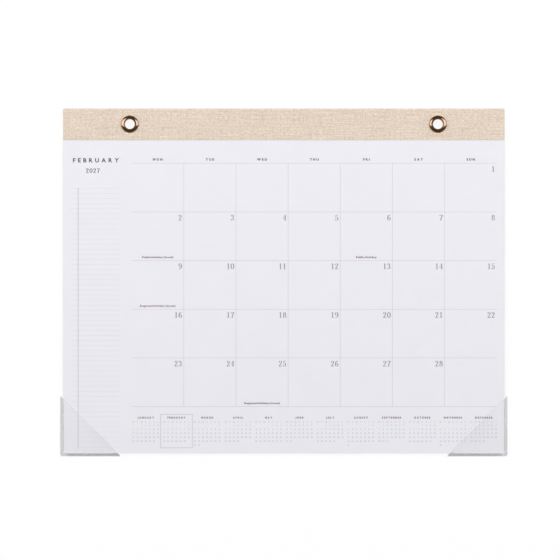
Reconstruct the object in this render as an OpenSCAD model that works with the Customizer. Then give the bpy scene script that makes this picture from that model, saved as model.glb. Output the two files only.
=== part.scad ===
// Desk pad calendar: month leaves bound on a chipboard back by a folded cloth header,
// with two eyelets through the header and a clear welded holder on each lower corner.
// The pad lies face up in millimetres: X across, +Y towards the header, +Z up, desk at z = 0.

/* [Pad] */
// Width of the pad from side edge to side edge
pad_w = 552.45; // [480:0.05:700]
// Height of the pad from its lower edge to the top of the header fold
pad_h = 431.8; // [260:0.1:600]

/* [Paper and board] */
// Thickness of one leaf
leaf_t = 0.12; // [0.08:0.01:0.3]
// Air between one leaf and the next
leaf_air = 0.03; // [0.01:0.01:0.1]
// Width of the perforation slit between a leaf and its bound stub
perforation_gap = 0.2; // [0.1:0.05:1]
// Thickness of the chipboard back
board_t = 0.8; // [0.5:0.1:3]
// Thickness of the glue along the bound edge
glue_t = 0.6; // [0.2:0.1:2]

/* [Header] */
// Height of the cloth on the front of the pad
header_h = 39.5; // [30:0.5:80]
// Height of the cloth on the back of the pad
header_back_h = 39.5; // [35:0.5:80]
// Thickness of the book cloth
cloth_t = 0.4; // [0.2:0.05:1]

/* [Eyelets] */
// Distance between the centres of the two eyelets
eyelet_span = 385.5; // [150:0.5:440]
// Radius of an eyelet's bore
eyelet_bore_r = 6; // [3:0.05:8]
// Outer radius of an eyelet's rolled rim
eyelet_rim_r = 11; // [10:0.1:14]
// Thickness of the eyelet's sheet brass
eyelet_wall = 0.35; // [0.2:0.05:0.6]
// Reach of the barrel's flare over the washer
flare_reach = 2.4; // [1:0.1:2.8]
// Outer radius of the washer behind the header
washer_r = 11; // [10:0.1:14]
// Thickness of the washer
washer_t = 0.3; // [0.2:0.05:1]
// Room around the eyelet's barrel in the layers that it passes through
barrel_clearance = 0.1; // [0.05:0.05:0.5]

/* [Corner holders] */
// Length of a holder's straight edges
holder_leg = 75.5; // [40:0.5:120]
// Distance that a holder stands out past the edges of the leaves
holder_overhang = 3.8; // [3.8:0.1:8]
// Thickness of the clear film
film_t = 0.4; // [0.2:0.05:0.6]
// Width of the weld that joins the two films
weld_w = 1.2; // [0.6:0.1:1.4]
// Width over which the front film climbs from the weld to the top leaf
rise_w = 2.2; // [1.2:0.1:2.4]
// Radius of a holder's outer corner
holder_r = 3; // [0.5:0.1:4]
// Room between the top leaf and the front film
film_clearance = 0.3; // [0.2:0.05:1]

/* [Hidden] */
MONTHS = [
    "january", "february", "march", "april", "may", "june",
    "july", "august", "september", "october", "november", "december"
];
// The January leaf is torn off, so the leaves start with the month after it
FIRST_LEAF = 1;
LAST_LEAF = len(MONTHS) - 1;
function sheet_name(month) = str("sheet_", MONTHS[month]);

LEFT = -1;
RIGHT = 1;
$fn = 64;
RISE_STEPS = 10;
RIM_STEPS = 10;
// Share of the rim's width, from the bore out, at which its crest lies
RIM_CREST = 0.15;
CORNER_STEP = 15;
CUT_MARGIN = 1;

// Heights of the layers, from the desk up
leaf_pitch = leaf_t + leaf_air;
z_washer = eyelet_wall;
z_cloth_back = z_washer + washer_t;
z_board = z_cloth_back + cloth_t;
z_leaves = z_board + board_t;
z_cloth_front = z_leaves + len(MONTHS) * leaf_pitch;
z_front = z_cloth_front + cloth_t;
function z_month(month) = z_leaves + (LAST_LEAF - month) * leaf_pitch;
z_film = z_month(FIRST_LEAF) + leaf_t + film_clearance;
z_film_top = z_film + film_t;

// Places along the pad, with the origin under the middle of the whole outline
y_edge = (holder_overhang - pad_h) / 2;
y_top = y_edge + pad_h;
y_crease = y_top - header_h;
y_eyelet = y_top - header_h / 2;
fold_r = (z_front - z_cloth_back) / 2;
y_fold = y_top - fold_r;
y_bound = y_fold - glue_t;

// Sizes of the eyelet's rolled rim
rim_w = eyelet_rim_r - eyelet_bore_r;
rim_h = rim_w / 2;
rim_crest_r = eyelet_bore_r + RIM_CREST * rim_w;
barrel_hole_r = eyelet_bore_r + eyelet_wall + barrel_clearance;

// Holes for both eyelets, through every layer under the header
module barrel_holes() {
    for (side = [LEFT, RIGHT])
        translate([side * eyelet_span / 2, y_eyelet, -CUT_MARGIN])
            cylinder(r = barrel_hole_r, h = z_front + 2 * CUT_MARGIN);
}

// A flat layer as wide as the pad, from y0 to y1, lying at height z
module layer(y0, y1, z, thickness) {
    translate([-pad_w / 2, y0, z])
        cube([pad_w, y1 - y0, thickness]);
}

module backing_board() {
    color("tan")
        difference() {
            layer(y_edge, y_bound, z_board, board_t);
            barrel_holes();
        }
}

// One month's leaf, from the pad's lower edge up to its perforation
module sheet(month) {
    color("ghostwhite")
        layer(y_edge, y_crease - perforation_gap, z_month(month), leaf_t);
}

// The strips of every month that stay bound under the header
module bound_stubs() {
    color("white")
        difference() {
            for (month = [0 : LAST_LEAF])
                layer(y_crease, y_bound, z_month(month), leaf_t);
            barrel_holes();
        }
}

module padding_glue() {
    color("ivory")
        layer(y_bound, y_fold, z_board, z_cloth_front - z_board);
}

// The header's section along the pad: front cloth, round fold, back cloth
module header_section() {
    translate([y_crease, z_cloth_front])
        square([header_h - fold_r, cloth_t]);
    translate([y_top - header_back_h, z_cloth_back])
        square([header_back_h - fold_r, cloth_t]);
    translate([y_fold, z_cloth_back + fold_r])
        intersection() {
            difference() {
                circle(fold_r);
                circle(fold_r - cloth_t);
            }
            translate([0, -fold_r])
                square([fold_r, 2 * fold_r]);
        }
}

module header_band() {
    color("wheat")
        difference() {
            translate([-pad_w / 2, 0, 0])
                rotate([90, 0, 90])
                    linear_extrude(pad_w)
                        header_section();
            barrel_holes();
        }
}

// One side of the rolled rim, drawn in from its outer side: steep over the bore, then sloping out to the cloth
function rim_line(inset) = [
    for (i = [0 : 2 * RIM_STEPS])
        let (
            a = 180 - 90 * i / RIM_STEPS,
            reach = i < RIM_STEPS ? rim_crest_r - eyelet_bore_r : eyelet_rim_r - rim_crest_r
        )
        [rim_crest_r + (reach - inset) * cos(a), z_front + (rim_h - inset) * sin(a)]
];
function reversed(points) = [for (i = [len(points) - 1 : -1 : 0]) points[i]];

// The eyelet's section in one outline: up the bore, over the rolled rim and back, and down the barrel to the flare
module eyelet_section() {
    barrel_r = eyelet_bore_r + eyelet_wall;
    flare_r = barrel_r + flare_reach;
    polygon(concat(
        [[eyelet_bore_r, 0]],
        rim_line(0),
        reversed(rim_line(eyelet_wall)),
        [[barrel_r, eyelet_wall], [flare_r, eyelet_wall], [flare_r, 0]]
    ));
}

module eyelet(side) {
    color("goldenrod")
        translate([side * eyelet_span / 2, y_eyelet, 0])
            rotate_extrude()
                eyelet_section();
}

module washer(side) {
    color("darkgoldenrod")
        translate([side * eyelet_span / 2, y_eyelet, z_washer])
            difference() {
                cylinder(r = washer_r, h = washer_t);
                translate([0, 0, -CUT_MARGIN])
                    cylinder(r = barrel_hole_r, h = washer_t + 2 * CUT_MARGIN);
            }
}

// A holder's outline on the desk: a right triangle with its outer corner rounded
module holder_outline() {
    corner = [for (a = [180 : CORNER_STEP : 270]) holder_r * [1 + cos(a), 1 + sin(a)]];
    polygon(concat(corner, [[holder_leg, 0], [0, holder_leg]]));
}

// The front film's climb from its edge, as points of distance and height on a half wave
function film_rise(start, z_low, z_high) = [
    for (i = [0 : RISE_STEPS])
        let (share = i / RISE_STEPS)
        [start + share * rise_w, z_low + (z_high - z_low) * (1 - cos(180 * share)) / 2]
];

// The space under a climbing film along both straight edges of a holder
module space_under(outline) {
    intersection() {
        rotate([90, 0, 90])
            linear_extrude(holder_leg)
                polygon(outline);
        translate([0, holder_leg, 0])
            rotate([90, 0, 0])
                linear_extrude(holder_leg)
                    polygon(outline);
    }
}

// The front film's upper side runs flat over the weld, then climbs on to the leaves
film_upper = concat(
    [[0, film_t], [0, 2 * film_t]],
    film_rise(weld_w, 2 * film_t, z_film_top),
    [[holder_leg, z_film_top], [holder_leg, film_t]]
);
// The pocket under it starts one film in from the weld
film_lower = concat(
    [[weld_w + film_t, 0]],
    film_rise(weld_w + film_t, film_t, z_film),
    [[holder_leg, z_film], [holder_leg, 0]]
);

// Places a holder that is drawn for the left corner at the left or right one
module at_corner(side) {
    mirror([side == RIGHT ? 1 : 0, 0, 0])
        translate([-pad_w / 2 - holder_overhang, y_edge - holder_overhang, 0])
            children();
}

module holder_back(side) {
    color("gainsboro", 0.6)
        at_corner(side)
            linear_extrude(film_t)
                holder_outline();
}

module holder_front(side) {
    color("gainsboro", 0.4)
        at_corner(side)
            difference() {
                intersection() {
                    space_under(film_upper);
                    linear_extrude(z_film_top)
                        holder_outline();
                }
                space_under(film_lower);
            }
}

backing_board();
for (month = [FIRST_LEAF : LAST_LEAF])
    sheet(month);
bound_stubs();
padding_glue();
header_band();
eyelet(LEFT);  // eyelet_left
eyelet(RIGHT);  // eyelet_right
washer(LEFT);  // washer_left
washer(RIGHT);  // washer_right
holder_back(LEFT);  // holder_left_back
holder_front(LEFT);  // holder_left_front
holder_back(RIGHT);  // holder_right_back
holder_front(RIGHT);  // holder_right_front
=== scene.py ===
"""Looks of a desk pad calendar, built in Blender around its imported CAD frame.

A chipboard back carries eleven month leaves, bound under a folded linen header with two eyelets, and a clear
film holder slips over each lower corner. Lengths are in metres, in the frame of the CAD part: X across the
pad, +Y towards the header and +Z up from the desk.
"""

import logging
import math
from dataclasses import dataclass, field
from enum import Enum
from functools import cache, reduce

import bpy
import numpy as np
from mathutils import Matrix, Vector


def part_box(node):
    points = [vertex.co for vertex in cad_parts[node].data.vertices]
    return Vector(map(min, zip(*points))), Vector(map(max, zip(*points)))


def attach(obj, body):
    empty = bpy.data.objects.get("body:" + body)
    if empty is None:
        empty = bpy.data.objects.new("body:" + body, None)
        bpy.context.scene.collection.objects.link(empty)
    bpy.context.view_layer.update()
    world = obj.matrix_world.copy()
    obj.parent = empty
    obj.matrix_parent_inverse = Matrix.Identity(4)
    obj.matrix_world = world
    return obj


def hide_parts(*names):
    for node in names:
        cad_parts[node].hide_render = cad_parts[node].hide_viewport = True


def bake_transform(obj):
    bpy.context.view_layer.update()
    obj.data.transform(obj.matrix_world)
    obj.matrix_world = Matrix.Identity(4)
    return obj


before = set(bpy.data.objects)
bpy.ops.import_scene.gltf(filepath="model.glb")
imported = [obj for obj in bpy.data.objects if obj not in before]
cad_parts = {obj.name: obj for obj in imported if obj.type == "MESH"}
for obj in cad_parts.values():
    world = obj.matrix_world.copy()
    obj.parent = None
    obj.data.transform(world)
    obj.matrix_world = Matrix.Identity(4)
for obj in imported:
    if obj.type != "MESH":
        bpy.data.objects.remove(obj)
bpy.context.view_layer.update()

LOG = logging.getLogger("desk_pad")
MM = 0.001
WEEK = ("MON", "TUE", "WED", "THU", "FRI", "SAT", "SUN")
FIRST_WEEKDAY_OF_YEAR = 3
YEAR = "2027"

FULL_TONE = 255
SRGB_KNEE = 0.04045
SRGB_SLOPE = 12.92
SRGB_OFFSET = 0.055
SRGB_POWER = 2.4

Array = np.ndarray
Pair = tuple[float, float]
Triple = tuple[float, float, float]
Colour = tuple[float, float, float, float]
Socket = bpy.types.NodeSocket
Inputs = dict[str | int, object]

BLACK: Colour = (0, 0, 0, 1)
WHITE: Colour = (1, 1, 1, 1)


class Side(Enum):
    """Left or right of the pad, with the sign of X there."""

    LEFT = -1
    RIGHT = 1

    @property
    def word(self) -> str:
        """The side as it stands in the names of pieces."""
        return self.name.lower()


class Month(Enum):
    """The months, with their place in the year and their days."""

    JANUARY = (0, 31)
    FEBRUARY = (1, 28)
    MARCH = (2, 31)
    APRIL = (3, 30)
    MAY = (4, 31)
    JUNE = (5, 30)
    JULY = (6, 31)
    AUGUST = (7, 31)
    SEPTEMBER = (8, 30)
    OCTOBER = (9, 31)
    NOVEMBER = (10, 30)
    DECEMBER = (11, 31)

    @property
    def place(self) -> int:
        """The month's place in the year, from 0."""
        return self.value[0]

    @property
    def days(self) -> int:
        """The number of days in the month."""
        return self.value[1]

    @property
    def word(self) -> str:
        """The month as it stands in the names of bodies and pieces."""
        return self.name.lower()

    @property
    def first_column(self) -> int:
        """The weekday column, Monday being 0, of the month's first day."""
        days_before = sum(month.days for month in Month if month.place < self.place)
        return (FIRST_WEEKDAY_OF_YEAR + days_before) % len(WEEK)


class Align(Enum):
    """The share of a line's width that lies left of its anchor."""

    CENTRE = 0.5
    RIGHT = 1.0


class Ink(Enum):
    """The printing inks, as sRGB colours on the paper."""

    RULE = (158, 157, 163)
    NOTE_RULE = (202, 200, 206)
    MARGIN = (164, 151, 160)
    NUMERAL = (130, 129, 135)
    LABEL = (62, 56, 62)
    YEAR = (36, 30, 34)
    TITLE = (88, 46, 62)
    PLUM = (92, 0, 43)
    SMALL = (172, 170, 176)

    @property
    def place(self) -> int:
        """The ink's material slot on a printed page."""
        return list(Ink).index(self)


def linear(red: int, green: int, blue: int) -> Colour:
    """Turns an sRGB colour of 0 to 255 into linear light.

    Args:
        red: the red part.
        green: the green part.
        blue: the blue part.

    Returns:
        The linear colour with an alpha of 1.
    """
    share = np.array([red, green, blue]) / FULL_TONE
    curve = ((share + SRGB_OFFSET) / (1 + SRGB_OFFSET)) ** SRGB_POWER
    light = np.where(share <= SRGB_KNEE, share / SRGB_SLOPE, curve)
    return (*light.tolist(), 1.0)


@dataclass
class Surface:
    """A mesh as whole arrays: its points, its faces of equal size, and what the faces and points carry."""

    points: Array
    faces: Array
    slots: Array | None = None
    uv: Array | None = None
    masks: dict[str, Array] = field(default_factory=dict)

    def flipped(self) -> "Surface":
        """The same surface with its faces turned over."""
        return Surface(self.points, self.faces[:, ::-1], self.slots, self.uv, self.masks)

    def make(self, name: str, finishes: list[bpy.types.Material], smooth: bool = True) -> bpy.types.Object:
        """Puts the arrays into a new object at the origin.

        Args:
            name: the piece's name.
            finishes: the materials of its slots.
            smooth: whether its faces are shaded smooth.

        Returns:
            The new object.
        """
        mesh = bpy.data.meshes.new(name)
        corners = self.faces.shape[1]
        mesh.vertices.add(len(self.points))
        mesh.vertices.foreach_set("co", self.points.astype(np.float32).ravel())
        mesh.loops.add(self.faces.size)
        mesh.loops.foreach_set("vertex_index", self.faces.astype(np.int32).ravel())
        mesh.polygons.add(len(self.faces))
        mesh.polygons.foreach_set("loop_start", np.arange(0, self.faces.size, corners, dtype=np.int32))
        for finish in finishes:
            mesh.materials.append(finish)
        if self.slots is not None:
            mesh.polygons.foreach_set("material_index", self.slots.astype(np.int32))
        mesh.update(calc_edges=True)
        mesh.polygons.foreach_set("use_smooth", np.full(len(self.faces), smooth))
        if self.uv is not None:
            layer = mesh.uv_layers.new(name="cut")
            layer.data.foreach_set("uv", self.uv[self.faces.ravel()].astype(np.float32).ravel())
        for mask, values in self.masks.items():
            layer = mesh.attributes.new(mask, "FLOAT", "POINT")
            layer.data.foreach_set("value", values.astype(np.float32).ravel())
        piece = bpy.data.objects.new(name, mesh)
        bpy.context.scene.collection.objects.link(piece)
        return piece


def quads(rows: int, columns: int, closed_rows: bool = False, closed_columns: bool = False) -> Array:
    """Joins a grid of points, numbered row by row, into quads that face along columns cross rows.

    Args:
        rows: the number of rows.
        columns: the number of columns.
        closed_rows: whether the last row joins the first.
        closed_columns: whether the last column joins the first.

    Returns:
        Four point numbers for each face.
    """
    row, column = np.meshgrid(
        np.arange(rows if closed_rows else rows - 1),
        np.arange(columns if closed_columns else columns - 1),
        indexing="ij",
    )
    next_row, next_column = (row + 1) % rows, (column + 1) % columns
    corners = [
        row * columns + column,
        row * columns + next_column,
        next_row * columns + next_column,
        next_row * columns + column,
    ]
    return np.stack(corners, axis=-1).reshape(-1, 4)


def arc(centre: Pair, radii: Pair, start: float, end: float, steps: int) -> Array:
    """Points on an ellipse: the centre plus the radii times the cosine and the sine of an angle.

    Args:
        centre: the ellipse's centre.
        radii: its two half widths.
        start: the first angle in degrees.
        end: the last angle in degrees.
        steps: the number of points.

    Returns:
        One row of two numbers for each point.
    """
    turn = np.radians(np.linspace(start, end, steps))
    return np.stack([centre[0] + radii[0] * np.cos(turn), centre[1] + radii[1] * np.sin(turn)], axis=1)


def revolved(profile: Array, axis: Pair, segments: int) -> Surface:
    """Turns a closed profile about an upright axis.

    Radius r and height z at angle t give (r cos t, r sin t, z) from the axis.

    Args:
        profile: radius and height of each point, anticlockwise.
        axis: X and Y of the axis.
        segments: the number of steps round it.

    Returns:
        The closed ring.
    """
    turn = np.linspace(0, 2 * np.pi, segments, endpoint=False)
    radius, height = profile[:, :1], profile[:, 1:]
    place = [axis[0] + radius * np.cos(turn), axis[1] + radius * np.sin(turn), height + 0 * turn]
    points = np.stack(place, axis=-1).reshape(-1, 3)
    return Surface(points, quads(len(profile), segments, closed_rows=True, closed_columns=True))


def ease(share: Array) -> Array:
    """A half wave from 0 to 1: half of one minus the cosine of the share times pi."""
    return 0.5 - 0.5 * np.cos(np.pi * np.clip(share, 0, 1))


class Nodes:
    """Adds nodes to one tree and links them."""

    def __init__(self, tree: bpy.types.NodeTree) -> None:
        """Keeps the tree that the nodes go into."""
        self.tree = tree

    def fill(self, node: bpy.types.Node, inputs: Inputs) -> bpy.types.Node:
        """Sets or links a node's inputs.

        Args:
            node: the node.
            inputs: a value to set, or a socket to link, for each named or numbered input.

        Returns:
            The same node.
        """
        for name, value in inputs.items():
            if isinstance(value, Socket):
                self.tree.links.new(value, node.inputs[name])
            else:
                node.inputs[name].default_value = value
        return node

    def add(self, kind: str, inputs: Inputs | None = None, **settings: object) -> bpy.types.Node:
        """Adds one node.

        Args:
            kind: the node's type, without ShaderNode in front.
            inputs: values or sockets for its inputs.
            **settings: the node's own properties.

        Returns:
            The new node.
        """
        node = self.tree.nodes.new("ShaderNode" + kind)
        for name, value in settings.items():
            setattr(node, name, value)
        return self.fill(node, inputs or {})

    def place(self, group: bpy.types.NodeTree, inputs: Inputs) -> bpy.types.Node:
        """Adds a shared group with its own input values."""
        node = self.add("Group", node_tree=group)
        return self.fill(node, inputs)

    def math(self, operation: str, first: object, second: object = 0.0) -> Socket:
        """One sum of two values or sockets."""
        return self.add("Math", {0: first, 1: second}, operation=operation).outputs[0]

    def between(self, share: Socket, low: Colour, high: Colour) -> Socket:
        """A colour from low, at a share of 0, to high, at 1."""
        return self.add("Mix", {0: share, 6: low, 7: high}, data_type="RGBA").outputs[2]

    def blended(self, parts: list[tuple[Socket, float]]) -> Socket:
        """The sum of several values, each times its share."""
        scaled = [self.math("MULTIPLY", value, share) for value, share in parts]
        return reduce(lambda total, part: self.math("ADD", total, part), scaled)

    def ranged(self, value: Socket, low: object, high: object) -> Socket:
        """A value of 0 to 1 spread over low to high."""
        return self.add("MapRange", {"Value": value, "To Min": low, "To Max": high}).outputs["Result"]

    def noise(self, vector: Socket, scale: float = 1.0, detail: float = 2.0) -> Socket:
        """Soft noise of 0 to 1 on a vector."""
        return self.add("TexNoise", {"Vector": vector, "Scale": scale, "Detail": detail}).outputs["Fac"]

    def mask(self, name: str) -> Socket:
        """A mask that the piece carries at its points."""
        return self.add("Attribute", attribute_name=name).outputs["Fac"]

    def stretched(self, vector: Socket, scale: Triple, turn: float = 0.0) -> Socket:
        """A vector turned about Z by an angle in degrees, and then scaled along each axis."""
        turned = self.add("Mapping", {"Vector": vector, "Rotation": (0, 0, math.radians(turn))})
        return self.add("Mapping", {"Vector": turned.outputs[0], "Scale": scale}).outputs[0]


class Patterns:
    """The effects that several finishes share, each built once as a node group.

    Streaks and scratches are noise on a vector that is turned by an angle in degrees and scaled along each
    axis. A slub is noise on a scaled vector, with its share of the cloth's tone.
    """

    FINE_DETAIL = 3.0
    CLOUD_SCALE = 0.03
    STREAK_SCALE = 0.8
    STREAKS = (((1.0, 0.12, 1.0), 28), ((0.12, 1.0, 1.0), 12))
    TONE_SHARES = (0.5, 0.5)
    HEIGHT_SHARES = (0.6, 0.4)
    SMUDGE_DETAIL = 4.0
    SMUDGE_SHARE = 0.7
    SCRATCH = ((24.0, 0.7, 1.0), 37)
    SCRATCH_POWER = 3.0
    WARP_TONE = (0.9, 0.3, 1.0)
    WEFT_TONE = (0.3, 0.9, 1.0)
    THREAD_SHARE = 0.2
    SLUBS = (
        ((0.5, 0.16, 1.0), 0.21),
        ((0.13, 0.5, 1.0), 0.24),
        ((0.5, 0.03, 1.0), 0.15),
        ((0.014, 0.5, 1.0), 0.2),
    )

    @staticmethod
    def group(name: str, outputs: tuple[str, ...]) -> tuple[Nodes, Socket, bpy.types.Node]:
        """Starts a group that reads a vector.

        Args:
            name: the group's name.
            outputs: the names of the values that it puts out.

        Returns:
            Its nodes, its vector and the node that takes its outputs.
        """
        tree = bpy.data.node_groups.new(name, "ShaderNodeTree")
        tree.interface.new_socket("Vector", in_out="INPUT", socket_type="NodeSocketVector")
        for output in outputs:
            tree.interface.new_socket(output, in_out="OUTPUT", socket_type="NodeSocketFloat")
        entry = tree.nodes.new("NodeGroupInput")
        return Nodes(tree), entry.outputs["Vector"], tree.nodes.new("NodeGroupOutput")

    @classmethod
    def fibre(cls) -> bpy.types.NodeTree:
        """Pressed fibre, as in paper and board: clouds with two sets of short streaks across each other.

        Returns:
            The group, with a tone and a height.
        """
        if found := bpy.data.node_groups.get("pressed_fibre"):
            return found
        nodes, vector, result = cls.group("pressed_fibre", ("Tone", "Height"))
        cloud = nodes.noise(vector, cls.CLOUD_SCALE, cls.FINE_DETAIL)
        speckle = nodes.noise(vector, detail=cls.FINE_DETAIL)
        runs = [nodes.stretched(vector, *streak) for streak in cls.STREAKS]
        streaks = nodes.math("MAXIMUM", *(nodes.noise(run, cls.STREAK_SCALE) for run in runs))
        tone = nodes.blended(list(zip((cloud, streaks), cls.TONE_SHARES)))
        height = nodes.blended(list(zip((speckle, streaks), cls.HEIGHT_SHARES)))
        nodes.fill(result, {"Tone": tone, "Height": height})
        return nodes.tree

    @classmethod
    def handling(cls) -> bpy.types.NodeTree:
        """Marks of handling, as on metal and film: broad smudges with fine scratches over them.

        Returns:
            The group, with the strength of the marks.
        """
        if found := bpy.data.node_groups.get("handling_marks"):
            return found
        nodes, vector, result = cls.group("handling_marks", ("Marks",))
        smudge = nodes.noise(vector, detail=cls.SMUDGE_DETAIL)
        scratch = nodes.noise(nodes.stretched(vector, *cls.SCRATCH), detail=1.0)
        scratch = nodes.math("POWER", scratch, cls.SCRATCH_POWER)
        nodes.fill(result, {"Marks": nodes.blended([(smudge, cls.SMUDGE_SHARE), (scratch, 1.0)])})
        return nodes.tree

    @classmethod
    def weave(cls) -> bpy.types.NodeTree:
        """A plain weave of uneven threads, on a vector of thread counts.

        Warp lies over weft where the product of the sines of pi times both counts is above 0, each thread is
        a half round, and threads differ in tone along their length.

        Returns:
            The group, with a tone and a height.
        """
        if found := bpy.data.node_groups.get("plain_weave"):
            return found
        nodes, vector, result = cls.group("plain_weave", ("Tone", "Height"))
        count = nodes.add("SeparateXYZ", {"Vector": vector})
        warp = nodes.math("SINE", nodes.math("MULTIPLY", count.outputs["X"], math.pi))
        weft = nodes.math("SINE", nodes.math("MULTIPLY", count.outputs["Y"], math.pi))
        warp_over = nodes.math("GREATER_THAN", nodes.math("MULTIPLY", warp, weft), 0.0)
        warp_round, weft_round = nodes.math("ABSOLUTE", warp), nodes.math("ABSOLUTE", weft)
        height = nodes.ranged(warp_over, weft_round, warp_round)
        warp_tone = nodes.noise(nodes.stretched(vector, cls.WARP_TONE))
        weft_tone = nodes.noise(nodes.stretched(vector, cls.WEFT_TONE))
        thread = nodes.ranged(warp_over, weft_tone, warp_tone)
        slubs = [(nodes.noise(nodes.stretched(vector, scale)), share) for scale, share in cls.SLUBS]
        tone = nodes.blended([(thread, cls.THREAD_SHARE), *slubs])
        nodes.fill(result, {"Tone": tone, "Height": height})
        return nodes.tree


@dataclass(frozen=True)
class Finish:
    """A surface finish, which makes its material once."""

    name: str

    @cache
    def material(self) -> bpy.types.Material:
        """The finish's material, made the first time that it is asked for."""
        return self.build()

    def build(self) -> bpy.types.Material:
        """Makes the material."""
        raise NotImplementedError

    def start(self) -> tuple[bpy.types.Material, Nodes, bpy.types.Node]:
        """Starts a material.

        Returns:
            The material, its nodes and its surface shader.
        """
        made = bpy.data.materials.new(self.name)
        made.use_nodes = True
        return made, Nodes(made.node_tree), made.node_tree.nodes["Principled BSDF"]

    @staticmethod
    def own_place(nodes: Nodes, scale: float) -> Socket:
        """The piece's own coordinates, times a scale."""
        place = nodes.add("TexCoord").outputs["Object"]
        return nodes.stretched(place, (scale, scale, scale))

    @staticmethod
    def relief(nodes: Nodes, height: Socket, depth: float, strength: float) -> Socket:
        """The normal of a relief with a depth in metres."""
        bump = nodes.add("Bump", {"Height": height, "Distance": depth, "Strength": strength})
        return bump.outputs["Normal"]


@dataclass(frozen=True)
class FibreFinish(Finish):
    """Paper or board: pressed fibre in two near colours, with a dry and slightly uneven surface."""

    pale: Colour
    dark: Colour
    fibres_per_metre: float
    depth: float
    strength: float = 0.5
    roughness: Pair = (0.82, 0.95)
    gloss: float = 0.3

    def build(self) -> bpy.types.Material:
        """Makes the material.

        Returns:
            The material.
        """
        made, nodes, shader = self.start()
        place = self.own_place(nodes, self.fibres_per_metre)
        fibre = nodes.place(Patterns.fibre(), {"Vector": place})
        nodes.fill(shader, {
            "Base Color": nodes.between(fibre.outputs["Tone"], self.dark, self.pale),
            "Roughness": nodes.ranged(fibre.outputs["Height"], *self.roughness),
            "Specular IOR Level": self.gloss,
            "Normal": self.relief(nodes, fibre.outputs["Height"], self.depth, self.strength),
        })
        return made


@dataclass(frozen=True)
class InkFinish(Finish):
    """Printing ink: one colour whose density varies a little over the sheet, on the paper's tooth."""

    colour: Colour
    thin_share: float = 1.18
    patches_per_metre: float = 160.0
    detail: float = 3.0
    roughness: Pair = (0.75, 0.55)
    gloss: float = 0.25

    def build(self) -> bpy.types.Material:
        """Makes the material.

        Returns:
            The material.
        """
        made, nodes, shader = self.start()
        place = self.own_place(nodes, self.patches_per_metre)
        density = nodes.noise(place, detail=self.detail)
        thin = tuple(min(1.0, part * self.thin_share) for part in self.colour)
        nodes.fill(shader, {
            "Base Color": nodes.between(density, thin, self.colour),
            "Roughness": nodes.ranged(density, *self.roughness),
            "Specular IOR Level": self.gloss,
        })
        return made


@dataclass(frozen=True)
class LinenFinish(Finish):
    """Natural linen book cloth: a plain weave of uneven flax threads, on the cloth's own cut."""

    pale: Colour = linear(254, 237, 219)
    dark: Colour = linear(197, 179, 161)
    threads_per_metre: float = 1900.0
    depth: float = 0.12 * MM
    strength: float = 0.35
    contrast: Pair = (0.38, 0.62)
    roughness: Pair = (0.95, 0.8)
    gloss: float = 0.2
    sheen: float = 0.08

    def build(self) -> bpy.types.Material:
        """Makes the material.

        Returns:
            The material.
        """
        made, nodes, shader = self.start()
        cut = nodes.add("UVMap", uv_map="cut").outputs["UV"]
        count = nodes.stretched(cut, (self.threads_per_metre, self.threads_per_metre, 1.0))
        weave = nodes.place(Patterns.weave(), {"Vector": count})
        low, high = self.contrast
        limits = {"Value": weave.outputs["Tone"], "From Min": low, "From Max": high}
        tone = nodes.add("MapRange", limits).outputs["Result"]
        nodes.fill(shader, {
            "Base Color": nodes.between(tone, self.dark, self.pale),
            "Roughness": nodes.ranged(weave.outputs["Height"], *self.roughness),
            "Specular IOR Level": self.gloss,
            "Sheen Weight": self.sheen,
            "Normal": self.relief(nodes, weave.outputs["Height"], self.depth, self.strength),
        })
        return made


@dataclass(frozen=True)
class BrassFinish(Finish):
    """Gold-coloured brass under a clear lacquer, with faint handling marks."""

    bright: Colour = (0.53, 0.28, 0.10, 1.0)
    dull: Colour = (0.40, 0.19, 0.055, 1.0)
    grazing: Colour = (0.62, 0.30, 0.10, 1.0)
    marks_per_metre: float = 240.0
    roughness: Pair = (0.08, 0.2)
    lacquer: float = 0.8
    lacquer_roughness: float = 0.03
    lacquer_ior: float = 1.9

    def build(self) -> bpy.types.Material:
        """Makes the material.

        Returns:
            The material.
        """
        made, nodes, shader = self.start()
        place = self.own_place(nodes, self.marks_per_metre)
        marks = nodes.place(Patterns.handling(), {"Vector": place}).outputs["Marks"]
        nodes.fill(shader, {
            "Base Color": nodes.between(marks, self.bright, self.dull),
            "Metallic": 1.0,
            "Roughness": nodes.ranged(marks, *self.roughness),
            "Specular Tint": self.grazing,
            "Coat Weight": self.lacquer,
            "Coat Roughness": self.lacquer_roughness,
            "Coat IOR": self.lacquer_ior,
        })
        return made


@dataclass(frozen=True)
class GlueFinish(Finish):
    """Dried padding glue: cream, rubbery and slightly lumpy."""

    pale: Colour = linear(242, 238, 224)
    dark: Colour = linear(224, 216, 196)
    lumps_per_metre: float = 320.0
    detail: float = 3.0
    depth: float = 0.2 * MM
    strength: float = 0.6
    roughness: Pair = (0.35, 0.6)

    def build(self) -> bpy.types.Material:
        """Makes the material.

        Returns:
            The material.
        """
        made, nodes, shader = self.start()
        lumps = nodes.noise(self.own_place(nodes, self.lumps_per_metre), detail=self.detail)
        nodes.fill(shader, {
            "Base Color": nodes.between(lumps, self.dark, self.pale),
            "Roughness": nodes.ranged(lumps, *self.roughness),
            "Normal": self.relief(nodes, lumps, self.depth, self.strength),
        })
        return made


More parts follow.
